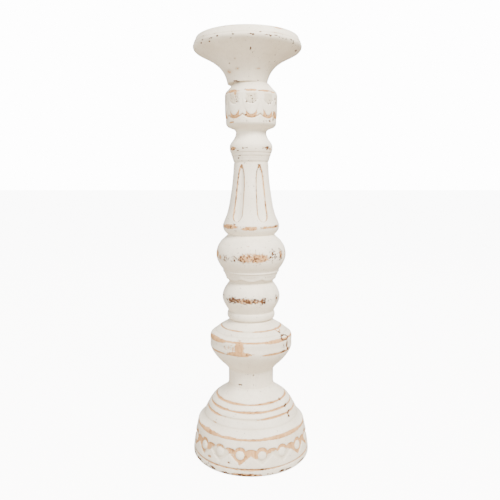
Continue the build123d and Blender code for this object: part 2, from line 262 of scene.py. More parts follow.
class Nodes:
    """Short-hand for building a node material."""

    def __init__(self, name):
        self.material = bpy.data.materials.new(name)
        self.material.use_nodes = True
        self.tree = self.material.node_tree
        self.shader = self.tree.nodes["Principled BSDF"]
        self.place = self.add("ShaderNodeTexCoord").outputs["Object"]

    def add(self, kind, **settings):
        node = self.tree.nodes.new(kind)
        for key, value in settings.items():
            setattr(node, key, value)
        return node

    def put(self, socket, value):
        if isinstance(value, bpy.types.NodeSocket):
            self.tree.links.new(value, socket)
        else:
            socket.default_value = value

    def noise(self, scale, detail=3.0, rough=0.55, stretch=None, distort=0.0):
        """Noise with about scale marks to the metre."""
        where = self.place
        if stretch:
            mapping = self.add("ShaderNodeMapping")
            mapping.inputs["Scale"].default_value = stretch
            self.put(mapping.inputs["Vector"], where)
            where = mapping.outputs["Vector"]
        node = self.add("ShaderNodeTexNoise")
        self.put(node.inputs["Vector"], where)
        self.put(node.inputs["Scale"], scale)
        self.put(node.inputs["Detail"], detail)
        self.put(node.inputs["Roughness"], rough)
        self.put(node.inputs["Distortion"], distort)
        return node.outputs["Fac"]

    def maths(self, operation, a, b=0.0, c=0.0):
        node = self.add("ShaderNodeMath", operation=operation)
        for socket, value in zip(node.inputs, (a, b, c)):
            self.put(socket, value)
        return node.outputs[0]

    def ramp(self, value, low, high, to_low=0.0, to_high=1.0):
        node = self.add("ShaderNodeMapRange", interpolation_type="SMOOTHSTEP")
        keys = ("Value", "From Min", "From Max", "To Min", "To Max")
        for key, x in zip(keys, (value, low, high, to_low, to_high)):
            self.put(node.inputs[key], x)
        return node.outputs["Result"]

    def mix(self, factor, a, b):
        node = self.add("ShaderNodeMix", data_type="RGBA")
        self.put(node.inputs[MIX_FACTOR], factor)
        self.put(node.inputs[MIX_A], a)
        self.put(node.inputs[MIX_B], b)
        return node.outputs[MIX_RESULT]

    def finish(self, colour, rough, height=None, reach=0.0002, metal=0.0, specular=0.3):
        self.put(self.shader.inputs["Base Color"], colour)
        self.put(self.shader.inputs["Roughness"], rough)
        self.put(self.shader.inputs["Metallic"], metal)
        self.put(self.shader.inputs["Specular IOR Level"], specular)
        if height is not None:
            bump = self.add("ShaderNodeBump")
            self.put(bump.inputs["Height"], height)
            self.put(bump.inputs["Distance"], reach)
            self.put(bump.inputs["Strength"], 1.0)
            self.put(self.shader.inputs["Normal"], bump.outputs["Normal"])
        return self.material


WHITE = (1.0, 1.0, 1.0, 1.0)
BRUSH_STRETCH = (1.0, 1.0, 0.16)  # brush drag and grain run up the stick
GRAIN_STRETCH = (1.0, 1.0, 0.08)
DOWEL_GRAIN_STRETCH = (1.0, 1.0, 0.05)


def srgb(text):
    """A colour given as six hex digits, as linear values."""
    parts = [int(text[i:i + 2], 16) / 255 for i in (0, 2, 4)]
    linear = [p / 12.92 if p <= 0.04045 else ((p + 0.055) / 1.055) ** 2.4 for p in parts]
    return (*linear, 1.0)


def distressed_paint():
    n = Nodes("distressed_paint")
    # The mesh's colour layer holds bare wood, darkened wood and painted shade
    marks = n.add("ShaderNodeAttribute", attribute_name="wear_and_shade")
    split = n.add("ShaderNodeSeparateColor")
    n.put(split.inputs[0], marks.outputs["Color"])
    tan, dark, painted_shade = split.outputs[0], split.outputs[1], split.outputs[2]
    # Paint: warm off-white with slow mottling, faint brush drag, painted shade in hollows and
    # creases, and specks
    mottle = n.ramp(n.noise(38, 3), 0.35, 0.7)
    coat = n.mix(mottle, srgb("F2E9D6"), srgb("E9DECA"))
    drag = n.ramp(n.noise(260, 3, 0.6, BRUSH_STRETCH), 0.45, 0.75)
    coat = n.mix(n.maths("MULTIPLY", drag, 0.28), coat, srgb("D3C9B6"))
    # Painted shade: hollows, grooves, creases and undersides are darkened towards a greyish tan
    coat = n.mix(n.maths("MULTIPLY", painted_shade, 0.6), coat, srgb("B8A686"))
    speck = n.ramp(n.noise(620, 2, 0.5), 0.735, 0.775)
    coat = n.mix(n.maths("MULTIPLY", speck, 0.55), coat, srgb("A98D6B"))
    # Bare wood: tan with long grain, browner in places, and nearly black where it is darkened
    grain = n.noise(420, 4, 0.6, GRAIN_STRETCH, 0.6)
    wood = n.mix(n.ramp(grain, 0.35, 0.72), srgb("D1A474"), srgb("B88654"))
    wood = n.mix(n.ramp(n.noise(170, 3), 0.55, 0.78), wood, srgb("8E6238"))
    brown = n.mix(n.ramp(grain, 0.3, 0.7), srgb("6E482C"), srgb("3C271A"))
    # Broken-edged masks: noise is added to the wear before it is cut off at a level
    crumble = n.maths("MULTIPLY", n.maths("SUBTRACT", n.noise(430, 5, 0.68), 0.5), 1.05)
    fine = n.maths("MULTIPLY", n.maths("SUBTRACT", n.noise(1150, 3, 0.6), 0.5), 0.7)
    torn = n.maths("ADD", crumble, fine)
    bare = n.ramp(n.maths("ADD", tan, torn), 0.42, 0.56)
    pits = n.noise(520, 3, 0.6, distort=0.5)
    pitted = n.maths("MULTIPLY", n.maths("SUBTRACT", pits, 0.5), 2.9)
    burnt = n.ramp(n.maths("ADD", dark, pitted), 0.51, 0.63)
    colour = n.mix(burnt, n.mix(bare, coat, wood), brown)
    gone = n.maths("MAXIMUM", bare, burnt)
    rough = n.ramp(gone, 0.0, 1.0, 0.52, 0.82)
    # Relief: the worn places lie lower than the paint, which has brush marks and lumps of its own
    height = n.maths("MULTIPLY", gone, -0.75)
    height = n.maths("MULTIPLY_ADD", drag, 0.22, height)
    height = n.maths("MULTIPLY_ADD", n.noise(900, 3, 0.6), 0.35, height)
    height = n.maths("MULTIPLY_ADD", n.noise(120, 2, 0.5), 0.7, height)
    return n.finish(colour, rough, height, reach=0.00028)


def dowel_wood():
    n = Nodes("dowel_wood")
    grain = n.noise(520, 4, 0.6, DOWEL_GRAIN_STRETCH, 0.5)
    colour = n.mix(n.ramp(grain, 0.35, 0.68), srgb("D9B485"), srgb("B48757"))
    return n.finish(colour, n.ramp(grain, 0.3, 0.7, 0.6, 0.75), grain, reach=0.0001)


def dark_steel():
    n = Nodes("dark_steel")
    haze = n.noise(700, 4, 0.6)
    colour = n.mix(n.ramp(haze, 0.35, 0.7), srgb("8B8985"), srgb("5C5853"))
    colour = n.mix(n.ramp(n.noise(300, 3), 0.62, 0.74), colour, srgb("6B4B36"))
    rough = n.ramp(haze, 0.3, 0.7, 0.34, 0.6)
    return n.finish(colour, rough, n.noise(1500, 3), reach=0.00006, metal=0.9, specular=0.5)


def wool_felt():
    n = Nodes("wool_felt")
    fuzz = n.noise(1800, 5, 0.75)
    colour = n.mix(n.ramp(fuzz, 0.3, 0.7), srgb("3F4A38"), srgb("59634E"))
    rough = n.ramp(fuzz, 0.3, 0.7, 0.88, 0.98)
    return n.finish(colour, rough, fuzz, reach=0.0005, specular=0.1)


paint = distressed_paint()
dowel_material = dowel_wood()
steel = dark_steel()
felt = wool_felt()


# ---------------------------------------------------------------- base

MOTIFS = 17
MOTIF_TURN = 180.0 / MOTIFS  # the front falls midway between two motifs
FRIEZE_R = 62.0
DISC_Z = 22.8
DISC_R = 4.3
DISC_CROWN = 0.5
CUSP_Z = 26.6  # where the arches over a pocket meet
ARCH_RISE = 4.4
SMALL_ARCH_RISE = 2.6
POCKET_TIP_Z = 12.7
POCKET_SIDE_RISE = 9.6  # from the tip to the pocket's side corner
POCKET_LEAN = 0.75  # turns a height above the slanted edge into a distance from it
POCKET_DEPTH = 1.1
WALL_LOW_Z = 8.0
WALL_HIGH_Z = 34.0

base = Skin([
    [(54.3, 2.0), (54.3, 0.5)],
    [(54.3, 0.5), (61.9, 0.5)],
    [(61.9, 0.5), (63.6, 1.1), (64.7, 2.5), (64.9, 4.6), (64.75, 6.8), (64.5, 9.0), (63.9, 13.3),
     (63.2, 17.7), (62.5, 22.0), (61.7, 26.3), (60.9, 30.7), (60.1, 34.5), (59.6, 36.6)],
    [(59.6, 36.6), (59.3, 38.2), (58.7, 39.3), (57.6, 40.3)],
    [(57.6, 40.3), (55.4, 42.2), (53.6, 44.3), (52.4, 46.6), (51.6, 48.2)],
    [(51.6, 48.2), (50.7, 50.2), (49.6, 52.4), (48.4, 54.6), (47.2, 56.8), (46.0, 58.9),
     (44.5, 61.1), (42.8, 63.3), (40.7, 65.5), (38.2, 67.6), (34.8, 69.8), (31.6, 72.0),
     (28.7, 74.1), (26.6, 76.3), (25.4, 79.0)],
], step=0.62, segments=460)
along = base.sideways(MOTIFS, MOTIF_TURN, FRIEZE_R)
aside = np.abs(along)
half = np.radians(180.0 / MOTIFS) * FRIEZE_R
arch = CUSP_Z + ARCH_RISE * np.sqrt(np.clip(1 - (aside / (half / 2)) ** 2, 0, 1))
from_side = (half - aside) / (half / 2)
small_arch = CUSP_Z + SMALL_ARCH_RISE * np.sqrt(np.clip(1 - from_side ** 2, 0, 1))
over = np.where(aside < half / 2, arch, small_arch) - base.z
under = (base.z - (POCKET_TIP_Z + POCKET_SIDE_RISE * aside / half)) * POCKET_LEAN
disc = np.hypot(along, base.z - DISC_Z) - DISC_R
outer_wall = (base.z > WALL_LOW_Z) & (base.z < WALL_HIGH_Z)
inside = np.minimum(np.minimum(over, under), disc)
pocket = step_up(inside, -0.25, 0.75) * outer_wall
base.depth += POCKET_DEPTH * pocket
base.depth -= DISC_CROWN * step_up(-disc, 0.0, 2.6)
# Each pocket is rubbed by its own amount
luck = np.random.default_rng(5).uniform(0.55, 1.0, MOTIFS)
rubbed = luck[base.motif_number(MOTIFS, MOTIF_TURN)]
base.wear_and_shade(tan=pocket * (0.42 + 0.50 * rubbed))
rim_line = bell(inside - 0.1, 0.55) * outer_wall * (inside > -1.2)
base.wear_and_shade(tan=rim_line * (0.35 + 0.3 * ripple(11, base.az, base.z, 24)))
# Painted shade in the recessed pockets
base.wear_and_shade(painted_shade=0.5 * pocket)
# Parts of the frieze that kept their paint
base.clean(-32, 20.5, 12, 8.0, amount=0.97)
base.clean(32, 19.0, 13, 6.5, amount=0.95)
base.clean(21, 19.0, 6, 6.5, amount=0.95)
base.clean(11, 15.0, 8, 4.5, amount=0.95)
base.clean(4.5, 15.0, 3, 6.0, amount=0.6)
base.clean(-45, 15.5, 8, 5.0, amount=0.9)
# Turned grooves, darkened with painted shade
base.ring(9.3, 0.8, 0.9, tan=0.85, dark=0.62, seed=21, gap=0.15)
base.patch(0, 9.3, 22, 0.8, 0.9, 0.62)
# A shallow crease whose painted shade draws the line at the foot of the dome
base.ring(46.4, 0.9, 0.45)
base.ring(55.3, 0.8, 0.8, tan=0.95, dark=0.3, seed=22, gap=0.15)
base.clean(-12, 55.3, 24, 3.0)
base.patches([
    (-46, 61.3, 20, 1.5, 0.85),
    (42, 61.4, 20, 1.3, 0.8),
    (-60, 67.4, 22, 1.3, 0.8),
    (33, 55.3, 22, 1.3, 0.95),
])
base.ring(61.3, 0.9, 0.9, tan=0.98, dark=0.5, seed=23, gap=0.1)
base.ring(67.5, 0.9, 0.9, tan=1.0, dark=0.5, seed=24, gap=0.05)
# Ledge over the frieze
base.edge(38.6, 1.5, tan=0.95, dark=0.3, seed=25, turns=10, bare=-0.9)
base.patches([
    (-50, 38.4, 22, 2.3, 1.0, 0.0),
    (-22, 39.0, 9, 1.1, 0.8, 0.0),
    (38, 38.4, 34, 2.2, 1.0, 0.0),
])
# Foot
base.edge(3.0, 1.5, tan=0.60, dark=0.80, seed=26, turns=14, bare=0.1)
base.patches([
    (-5, 2.8, 17, 2.6, 1.0, 0.78),
    (-25, 3.0, 3.5, 1.6, 0.8, 1.0),
    (30, 4.0, 4, 1.6, 0.6, 1.0),
    (37, 3.2, 6, 1.4, 0.5, 0.75),
    (20, 3.6, 7, 1.0, 0.2, 0.55),
    (57, 4.6, 7, 1.2, 0.5, 0.85),
    (-38, 4.0, 3, 2.0, 0.5, 0.95),
    (-42, 5.0, 7, 3.0, 0.3, 0.50),
    (-46, 5.4, 2, 1.2, 0.5, 0.85),
    (-60, 4.6, 8, 1.6, 0.4, 0.80),
    (-72, 5.5, 6, 2.0, 0.4, 0.70),
])
# Dark nicks in a line up the right of the dome
BASE_NICKS = [
    (54, 67.6), (55, 60.8), (58, 61.4), (58.5, 55.3), (55, 54.0), (54, 51.6),
]
for turn, height in BASE_NICKS:
    base.patch(turn, height, 2.6, 1.3, 0.8, 0.95)
base.patches([
    (-48, 47.0, 7, 0.9, 0.62, 0.0),
    (-21.5, 14.3, 2.4, 1.6, 0.7, 0.55),
    (-43.5, 14.3, 2.6, 1.7, 0.9, 0.5),
    (-52, 40.6, 2.0, 0.9, 0.7, 0.3),
])
base.build("base_wood", "base", paint)

# ---------------------------------------------------------------- lower knop

knop = Skin([
    [(25.0, 79.0), (24.95, 86.0), (25.0, 95.6)],
    [(25.0, 95.6), (25.3, 97.2), (26.3, 98.2)],
    [(26.3, 98.2), (27.9, 100.2), (29.9, 102.4), (34.4, 106.7), (38.3, 111.1), (41.4, 115.4),
     (43.9, 119.8), (44.7, 122.0)],
    [(44.7, 122.0), (45.0, 123.0), (45.0, 128.5), (45.0, 134.8), (44.3, 136.8)],
    [(44.3, 136.8), (42.8, 138.0), (40.6, 139.6), (37.9, 141.7), (35.3, 143.8), (32.2, 145.8),
     (28.2, 148.1), (25.2, 150.3), (23.6, 152.0)],
], step=0.62, segments=400)
knop.ring(145.3, 0.8, 0.85, tan=0.92, dark=0.3, seed=31, gap=0.1)
knop.clean(-6, 145.3, 9, 3.0)
knop.ring(140.6, 0.7, 0.25, tan=0.30, dark=0.2, seed=35, gap=0.5)
knop.edge(136.4, 1.35, tan=0.92, dark=0.3, seed=32, turns=9, bare=-0.8)
knop.patches([
    (-60, 135.4, 28, 2.8, 1.0, 0.0),
    (38, 135.8, 24, 2.1, 0.95, 0.0),
])
knop.edge(122.7, 1.4, tan=0.90, dark=0.3, seed=33, turns=9, bare=-0.7)
knop.clean(6, 122.5, 9, 2.0, amount=0.9)
knop.patches([
    (-16, 130.5, 7.5, 9.0, 0.95, 0.25),
    (-16, 124.0, 20, 2.8, 1.0, 0.2),
    (30, 122.8, 20, 1.6, 0.85, 0.2),
    (-38, 128.5, 3.0, 4.0, 0.50, 0.35),
    (-27, 129.5, 14, 6.5, 0.47, 0.0),
])
# A split that ends in a loop, and a smaller crumbled loop above it
loop = bell(np.hypot(wrap(knop.az - 55.0) / 8.0, (knop.z - 137.0) / 2.6) - 0.9, 0.28)
knop.wear_and_shade(dark=0.98 * loop)
knop.patches([
    (58.5, 129.0, 2.6, 5.5, 0.9, 0.80),
    (61, 124.2, 3.0, 2.2, 0.6, 1.0),
    (50, 128.6, 2.6, 2.6, 0.2, 0.62),
    (49, 123.4, 7.0, 1.4, 0.6, 0.80),
    (53, 141.8, 3.2, 1.0, 0.5, 0.95),
])
crumb = bell(np.hypot(wrap(knop.az - 55.5) / 6.5, (knop.z - 144.3) / 1.9) - 0.8, 0.3)
knop.wear_and_shade(tan=0.80 * crumb)
knop.patches([
    (-28.5, 83.3, 6.5, 0.9, 0.7, 1.0),
    (5, 95.0, 2.5, 0.9, 0.30, 0.52),
    (6, 84.0, 1.8, 0.6, 0.0, 0.68),
])
knop.edge(97.5, 0.9, tan=0.42, dark=0.4, seed=34, turns=14, bare=0.35)
knop.build("lower_knop_wood", "lower_knop", paint)

# ---------------------------------------------------------------- middle column

LOBES = 8
LOBE_TURN = 1.0
LOBE_R = 27.0
BAND_LOW_Z = 193.4
BAND_HIGH_Z = 206.4
LARGE_BALL_Z = 223.5  # the rubbed bands round the two balls
SMALL_BALL_Z = 176.8

middle = Skin([
    [(22.4, 152.0), (22.9, 153.0), (25.1, 153.9), (26.1, 156.2), (26.1, 159.2), (25.5, 161.2),
     (25.0, 162.0)],
    [(25.0, 162.0), (25.7, 163.6), (26.8, 165.4), (28.1, 167.6), (29.3, 169.8), (30.5, 172.6),
     (31.2, 175.2), (31.45, 177.6), (31.2, 180.4), (30.6, 182.8), (29.8, 184.9), (28.8, 187.1),
     (27.4, 189.3), (25.8, 191.5), (24.5, 193.4)],
    [(24.5, 193.4), (25.5, 195.6), (27.0, 198.0), (28.5, 200.3), (29.6, 202.4), (30.3, 204.6),
     (30.7, 206.2)],
    [(30.7, 206.2), (30.4, 206.9)],
    [(30.4, 206.9), (31.3, 208.8), (32.9, 211.0), (34.3, 213.2), (35.5, 215.4), (36.5, 217.5),
     (37.2, 219.7), (37.7, 221.9), (37.85, 224.4), (37.8, 226.3), (37.5, 228.6), (37.0, 230.7),
     (36.4, 232.7), (35.3, 234.9), (33.8, 237.1), (32.3, 239.3), (29.9, 241.4), (27.5, 243.6),
     (25.4, 245.6)],
], step=0.55, segments=400)
half = np.radians(180.0 / LOBES) * LOBE_R
along = np.abs(middle.sideways(LOBES, LOBE_TURN, LOBE_R)) / half
on_band = (middle.z > BAND_LOW_Z) & (middle.z < BAND_HIGH_Z)
hem = 196.6 + 2.6 * along ** 2
under_hem = 194.0 + 1.6 * along ** 2
hang = step_up(hem - middle.z, -0.3, 0.9) * on_band
middle.depth += 0.75 * hang + 0.45 * step_up(under_hem - middle.z, -0.3, 0.9) * on_band
below_ledge = step_up(205.6 - middle.z, 0.0, 1.2)
middle.depth += 0.8 * step_up(middle.z, hem + 0.8, hem + 4.0) * on_band * below_ledge
# Painted shade along the hem and under the hanging lobes
middle.wear_and_shade(painted_shade=np.maximum(0.4 * hang, 0.9 * bell(middle.z - hem, 0.8) * on_band))
# Rubbed bands: made up behind, placed patch by patch in front
behind = step_up(np.abs(middle.az), 80.0, 100.0)
broken = step_up(ripple(42, middle.az, middle.z, 12), -0.5, 0.3)
band = bell(middle.z - LARGE_BALL_Z, 4.0) * broken * behind
middle.wear_and_shade(tan=0.62 * band, dark=0.45 * band)
middle.patches([
    (3, 223.9, 32, 6.6, 0.68, 0.48),
    (14, 223.6, 19, 5.2, 0.86, 0.40),
    (-14, 222.8, 10, 5.5, 0.66, 0.60),
    (-27, 223.0, 9, 5.5, 0.40, 0.48),
    (-76, 225.0, 12, 5.6, 0.95, 0.1),
    (-60, 223.0, 6, 4.0, 0.60, 0.3),
    (-46, 222.3, 9, 4.6, 0.44, 0.46),
    (38, 226.2, 10, 6.0, 0.10, 0.62),
    (56, 225.6, 6, 7.5, 0.62, 0.60),
    (78, 225.0, 7, 6.0, 0.9, 0.4),
    (36, 240.5, 1.8, 0.9, 0.3, 0.75),
    (-50, 237.0, 9, 0.8, 0.47, 0.0),
    (-5, 236.0, 5, 0.8, 0.50, 0.0),
    (22, 234.6, 6, 0.8, 0.46, 0.0),
])
broken = step_up(ripple(43, middle.az, middle.z, 12), -0.5, 0.3)
band = bell(middle.z - SMALL_BALL_Z, 2.6) * broken * behind
middle.wear_and_shade(tan=0.6 * band, dark=0.6 * band)
middle.patches([
    (-8, 177.2, 48, 4.2, 0.60, 0.72),
    (-40, 177.4, 17, 4.2, 0.52, 0.86),
    (24, 177.2, 12, 4.4, 0.52, 0.86),
    (61, 178.0, 8, 5.0, 0.46, 0.62),
    (-72, 180.0, 5, 1.8, 0.4, 0.70),
])
# Seam grooves, drawn with painted shade
middle.ring(162.0, 0.6, 0.45)
middle.ring(193.6, 0.6, 0.45)
middle.build("middle_column_wood", "middle_column", paint)

# ---------------------------------------------------------------- upper column

FLUTES = 6
FLUTE_TURN = 27.5
FLUTE_FOOT_Z = 268.0  # the flute is widest here; its round foot lies below
FLUTE_LENGTH = 52.5
FLUTE_FOOT_LENGTH = 7.4
FLUTE_TIP_HALF = 3.9
FLUTE_SPREAD = 1.8
FLUTE_FOOT_HALF = 5.7
VASE_LOW_Z = 260.6
VASE_HIGH_Z = 320.5
PETALS = 9
PETAL_TURN = 0.5
DRUM_R = 27.3
PETAL_HALF = 6.4

upper = Skin([
    [(25.3, 245.6), (27.6, 247.8), (29.3, 250.1), (30.2, 252.2), (30.6, 254.5), (30.4, 256.8),
     (29.6, 258.9)],
    [(29.6, 258.9), (28.1, 263.2), (26.6, 267.5), (25.4, 271.8), (24.4, 276.2), (23.6, 280.6),
     (22.2, 289.2), (20.9, 297.9), (19.9, 306.6), (19.0, 315.3), (18.55, 321.4)],
    [(18.55, 321.4), (18.5, 323.2)],
    [(18.5, 323.2), (19.3, 325.0), (19.6, 326.4)],
    [(19.6, 326.4), (20.4, 328.4), (21.1, 330.5), (21.9, 332.7), (22.6, 334.9), (22.95, 337.2),
     (22.9, 339.2), (22.35, 341.5), (21.2, 343.6), (19.5, 345.8)],
    [(19.5, 345.8), (18.1, 348.0), (17.0, 350.2), (16.4, 352.4), (16.2, 354.6)],
    [(16.2, 354.6), (17.7, 356.6), (21.5, 358.3), (25.0, 360.0), (26.5, 362.0)],
    [(26.5, 362.0), (26.8, 365.0), (27.1, 369.0), (27.25, 376.0), (27.35, 385.0), (27.4, 392.6)],
    [(27.4, 392.6), (27.1, 394.2), (26.2, 395.7), (24.1, 397.9), (22.2, 400.0), (20.3, 402.2),
     (18.6, 404.0)],
], step=0.62, segments=330)
along = upper.sideways(FLUTES, FLUTE_TURN, 1.0)
aside = np.abs(along * upper.r)
rise = np.clip((upper.z - FLUTE_FOOT_Z) / FLUTE_LENGTH, 0, 1)
drop = np.clip((FLUTE_FOOT_Z - upper.z) / FLUTE_FOOT_LENGTH, 0, 1)
lancet = (FLUTE_TIP_HALF + FLUTE_SPREAD * (1 - rise)) * (1 - rise**8)
foot = FLUTE_FOOT_HALF * np.sqrt(1 - drop**2)
mouth = np.where(upper.z >= FLUTE_FOOT_Z, lancet, foot)
on_vase = (upper.z > VASE_LOW_Z) & (upper.z < VASE_HIGH_Z)
inside = np.where(on_vase, mouth - aside, -5.0)
scoop = step_up(inside, -0.2, 1.3)
upper.depth += 1.5 * scoop + 0.5 * step_up(inside, 1.0, 5.0)
outline = bell(inside - 0.1, 0.75) * on_vase
upper.wear_and_shade(tan=outline * (0.88 + 0.22 * ripple(51, upper.az, upper.z, 12, 0.2)))
upper.wear_and_shade(dark=outline * (0.50 + 0.30 * ripple(50, upper.az, upper.z, 12, 0.3)))
left_edge = outline * bell(wrap(upper.az + 44.0), 9.0) * (upper.z > FLUTE_FOOT_Z)
upper.wear_and_shade(left_edge, 0.60 * left_edge)
tip = bell(upper.z - 318.5, 3.6) * bell(aside, 2.2) * on_vase
# Bare and darkened wood at the flute tips; painted shade along the flute outlines
upper.wear_and_shade(0.8 * tip, 0.66 * tip, 0.7 * outline)
upper.edge(255.0, 1.7, tan=0.72, dark=0.35, seed=52, turns=12, bare=-0.5)
upper.patches([
    (-50, 255.4, 27, 2.8, 1.0, 0.3),
    (-4, 253.4, 20, 1.9, 0.90, 0.3),
    (30, 254.6, 15, 1.6, 0.72, 0.2),
    (62, 255.4, 10, 1.8, 0.8, 0.4),
    (58, 255.4, 5, 1.5, 0.8, 0.95),
])
# Fine grooves with painted shade in them
upper.ring(332.2, 0.55, 0.35, tan=0.10, dark=0.0, seed=53, gap=0.3)
upper.ring(329.0, 0.55, 0.30, tan=0.10, dark=0.0, seed=54, gap=0.3)
upper.ring(323.2, 0.7, 0.35, tan=0.25, dark=0.0, seed=55, gap=0.4)
upper.patches([
    (-57, 336.6, 16, 2.2, 0.9, 0.46),
    (-20, 336.6, 6, 1.2, 0.40, 0.62),
    (-12, 337.0, 4, 1.0, 0.40, 0.66),
    (35, 336.8, 7, 1.7, 0.52, 0.40),
    (47, 337.0, 9, 2.3, 0.60, 0.90),
    (61, 336.2, 6, 1.8, 0.85, 0.45),
])
# Dark nicks down the left of the column
COLUMN_NICKS = [
    (-37, 334.2), (-35.5, 329.1), (-41, 326.7), (-22, 321.6), (-35, 258.0), (-33, 251.0),
]
for turn, height in COLUMN_NICKS:
    upper.patch(turn, height, 4.4, 0.7, 0.5, 0.9)
upper.patches([
    (150, 337.0, 14, 1.8, 0.7, 0.6),
    (-140, 337.0, 10, 1.8, 0.7, 0.5),
])

# Collar: nine petals standing on a wavy hem
half = np.radians(180.0 / PETALS) * DRUM_R
aside = np.abs(upper.sideways(PETALS, PETAL_TURN, DRUM_R))
on_drum = step_up(upper.z, 364.4, 366.0) * step_up(393.4 - upper.z, 0.0, 1.4)
hem = 366.8 + 3.9 * (aside / half) ** 2
smile = 380.8 + 4.2 * (aside / PETAL_HALF) ** 2
cup = 368.7 + 6.5 * (aside / PETAL_HALF) ** 2.2
leaf = bell((upper.z - cup) * 0.75, 0.6) * step_up(376.5 - upper.z, 0.0, 3.0) * on_drum
upper.depth += bell(upper.z - hem, 0.9) * on_drum
upper.depth += 0.75 * bell(upper.z - smile, 0.7) * (aside < 6.6) * on_drum
upper.depth += 0.55 * leaf
upper.depth -= 0.35 * step_up(upper.z - cup, 0.0, 3.0) * on_drum
# Gouge cuts above each petal
above = step_up(upper.z - smile, 0.4, 1.6)
gouge = above * step_up(391.8 - upper.z, 0.0, 1.5) * step_up(6.2 - aside, 0.0, 1.5)
nicks = step_up(ripple(46, upper.az * 2, upper.z, 40, 0.9, 24), -0.2, 0.8)
upper.depth += 0.45 * gouge * nicks
# Bare wood between the hem and the petal, and along both lines
crescent = step_up(upper.z - hem, -0.9, 0.1) * step_up(cup + 1.2 - upper.z, -0.6, 0.4)
crescent = crescent * on_drum * (aside < half) * step_up(7.4 - aside, 0.0, 2.5)
upper.wear_and_shade(tan=crescent * (0.78 + 0.20 * ripple(57, upper.az, upper.z, 20)))
hem_line = bell(upper.z - hem, 0.8) * on_drum
upper.wear_and_shade(tan=hem_line * (0.66 + 0.25 * ripple(49, upper.az, upper.z, 20)))
upper.wear_and_shade(tan=leaf * (0.30 + 0.20 * ripple(47, upper.az, upper.z, 20)), dark=0.30 * leaf)
upper.wear_and_shade(tan=0.34 * gouge * nicks, dark=0.36 * gouge * nicks)
smile_line = bell(upper.z - smile, 0.7) * (aside < 5.0) * on_drum
upper.wear_and_shade(dark=smile_line * (0.46 + 0.3 * ripple(48, upper.az, upper.z, 20)))
# Painted shade in the hem groove, the gouges and the leaf lines
upper.wear_and_shade(painted_shade=np.maximum(bell(upper.z - hem, 0.9) * on_drum, 0.8 * gouge))
upper.wear_and_shade(painted_shade=0.6 * leaf)
upper.edge(393.7, 1.0, tan=0.70, dark=0.2, seed=58, turns=12, bare=-0.3)
upper.patches([
    (-46, 393.8, 15, 1.8, 1.0, 0.1),
    (-36, 391.5, 6, 2.6, 0.7, 0.0),
    (-2, 393.8, 17, 1.3, 0.95, 0.1),
    (34, 393.8, 16, 0.9, 0.85, 0.1),
])
GOUGE_SPOTS = [
    (-9, 382.0), (-4, 384.0), (2, 385.0), (6, 382.4), (0, 388.0), (-33, 385.0), (-31, 382.4),
    (-36, 387.4),
]
for turn, height in GOUGE_SPOTS:
    upper.patch(turn, height, 4.0, 0.8, 0.45, 0.58)
upper.patches([
    (-12, 369.6, 3.0, 1.2, 0.6, 0.80),
    (-49, 362.9, 12, 1.0, 0.80, 0.2),
    (-12, 363.2, 9, 0.6, 0.30, 0.62),
    (34, 363.4, 7, 0.6, 0.30, 0.62),
    (46, 363.6, 6, 1.3, 0.5, 0.80),
    (58, 366.4, 3, 2.6, 0.5, 0.66),
    (64, 385.5, 2.6, 8.5, 0.4, 0.60),
    (70, 382.5, 5, 3.0, 0.3, 0.50),
    (62, 371.0, 7.0, 5.0, 0.85, 0.45),
    (150, 365.0, 14, 1.0, 0.7, 0.4),
    (-110, 365.0, 12, 1.0, 0.7, 0.4),
])
upper.build("upper_column_wood", "upper_column", paint)

# ---------------------------------------------------------------- candle plate

plate = Skin([
    [(20.9, 404.0), (21.1, 404.6), (21.5, 406.5), (22.1, 408.7), (22.9, 410.9), (23.8, 413.1),
     (24.9, 415.2), (26.3, 417.4), (28.0, 419.6), (30.0, 421.8), (32.5, 424.0), (35.3, 426.1),
     (38.5, 428.3), (42.2, 430.4), (46.4, 432.6), (51.0, 434.9), (54.0, 436.6)],
    [(54.0, 436.6), (55.5, 437.9), (56.5, 439.4), (56.8, 441.2), (56.5, 442.3)],
    [(56.5, 442.3), (55.9, 443.8), (55.0, 445.8), (54.0, 447.9)],
    [(54.0, 447.9), (53.4, 449.3), (52.0, 450.0), (49.6, 450.0), (47.0, 449.6), (45.4, 448.4)],
    [(45.4, 448.4), (43.6, 446.9), (42.6, 445.7), (41.4, 445.0)],
    [(41.4, 445.0), (20.0, 445.0), (7.1, 445.0)],
    [(7.1, 445.0), (7.1, 443.8)],
    [(7.1, 443.8), (2.6, 443.8)],
], step=0.68, segments=400)
plate.ring(442.6, 0.6, 0.4, tan=0.22, dark=0.3, seed=61, gap=0.45)
plate.edge(439.4, 0.8, tan=0.25, dark=0.60, seed=62, turns=26, bare=0.2)
# Chips in the plate's rim, dark ones and faint ones
RIM_CHIPS = [
    (2.5, 440.0, 3.0), (5.5, 439.6, 2.0), (-30.5, 440.0, 1.8), (-50.5, 440.0, 1.8),
    (-55, 437.8, 1.8), (20, 440.0, 3.2), (23.5, 439.6, 1.6), (29, 440.2, 2.4), (33, 439.2, 1.8),
    (55, 437.8, 1.8), (49.5, 439.8, 1.6), (75, 435.2, 3.0),
]
for turn, height, wide in RIM_CHIPS:
    plate.patch(turn, height, wide, 0.75, 0.35, 0.92)
FAINT_RIM_CHIPS = [
    (13, 442.5, 2.4), (39.5, 438.9, 2.0), (63.5, 440.8, 2.0), (-38, 439.6, 3.0),
    (-13, 440.2, 2.0), (-42, 437.0, 1.8), (-17, 437.0, 2.2),
]
for turn, height, wide in FAINT_RIM_CHIPS:
    plate.patch(turn, height, wide, 0.6, 0.35, 0.70)
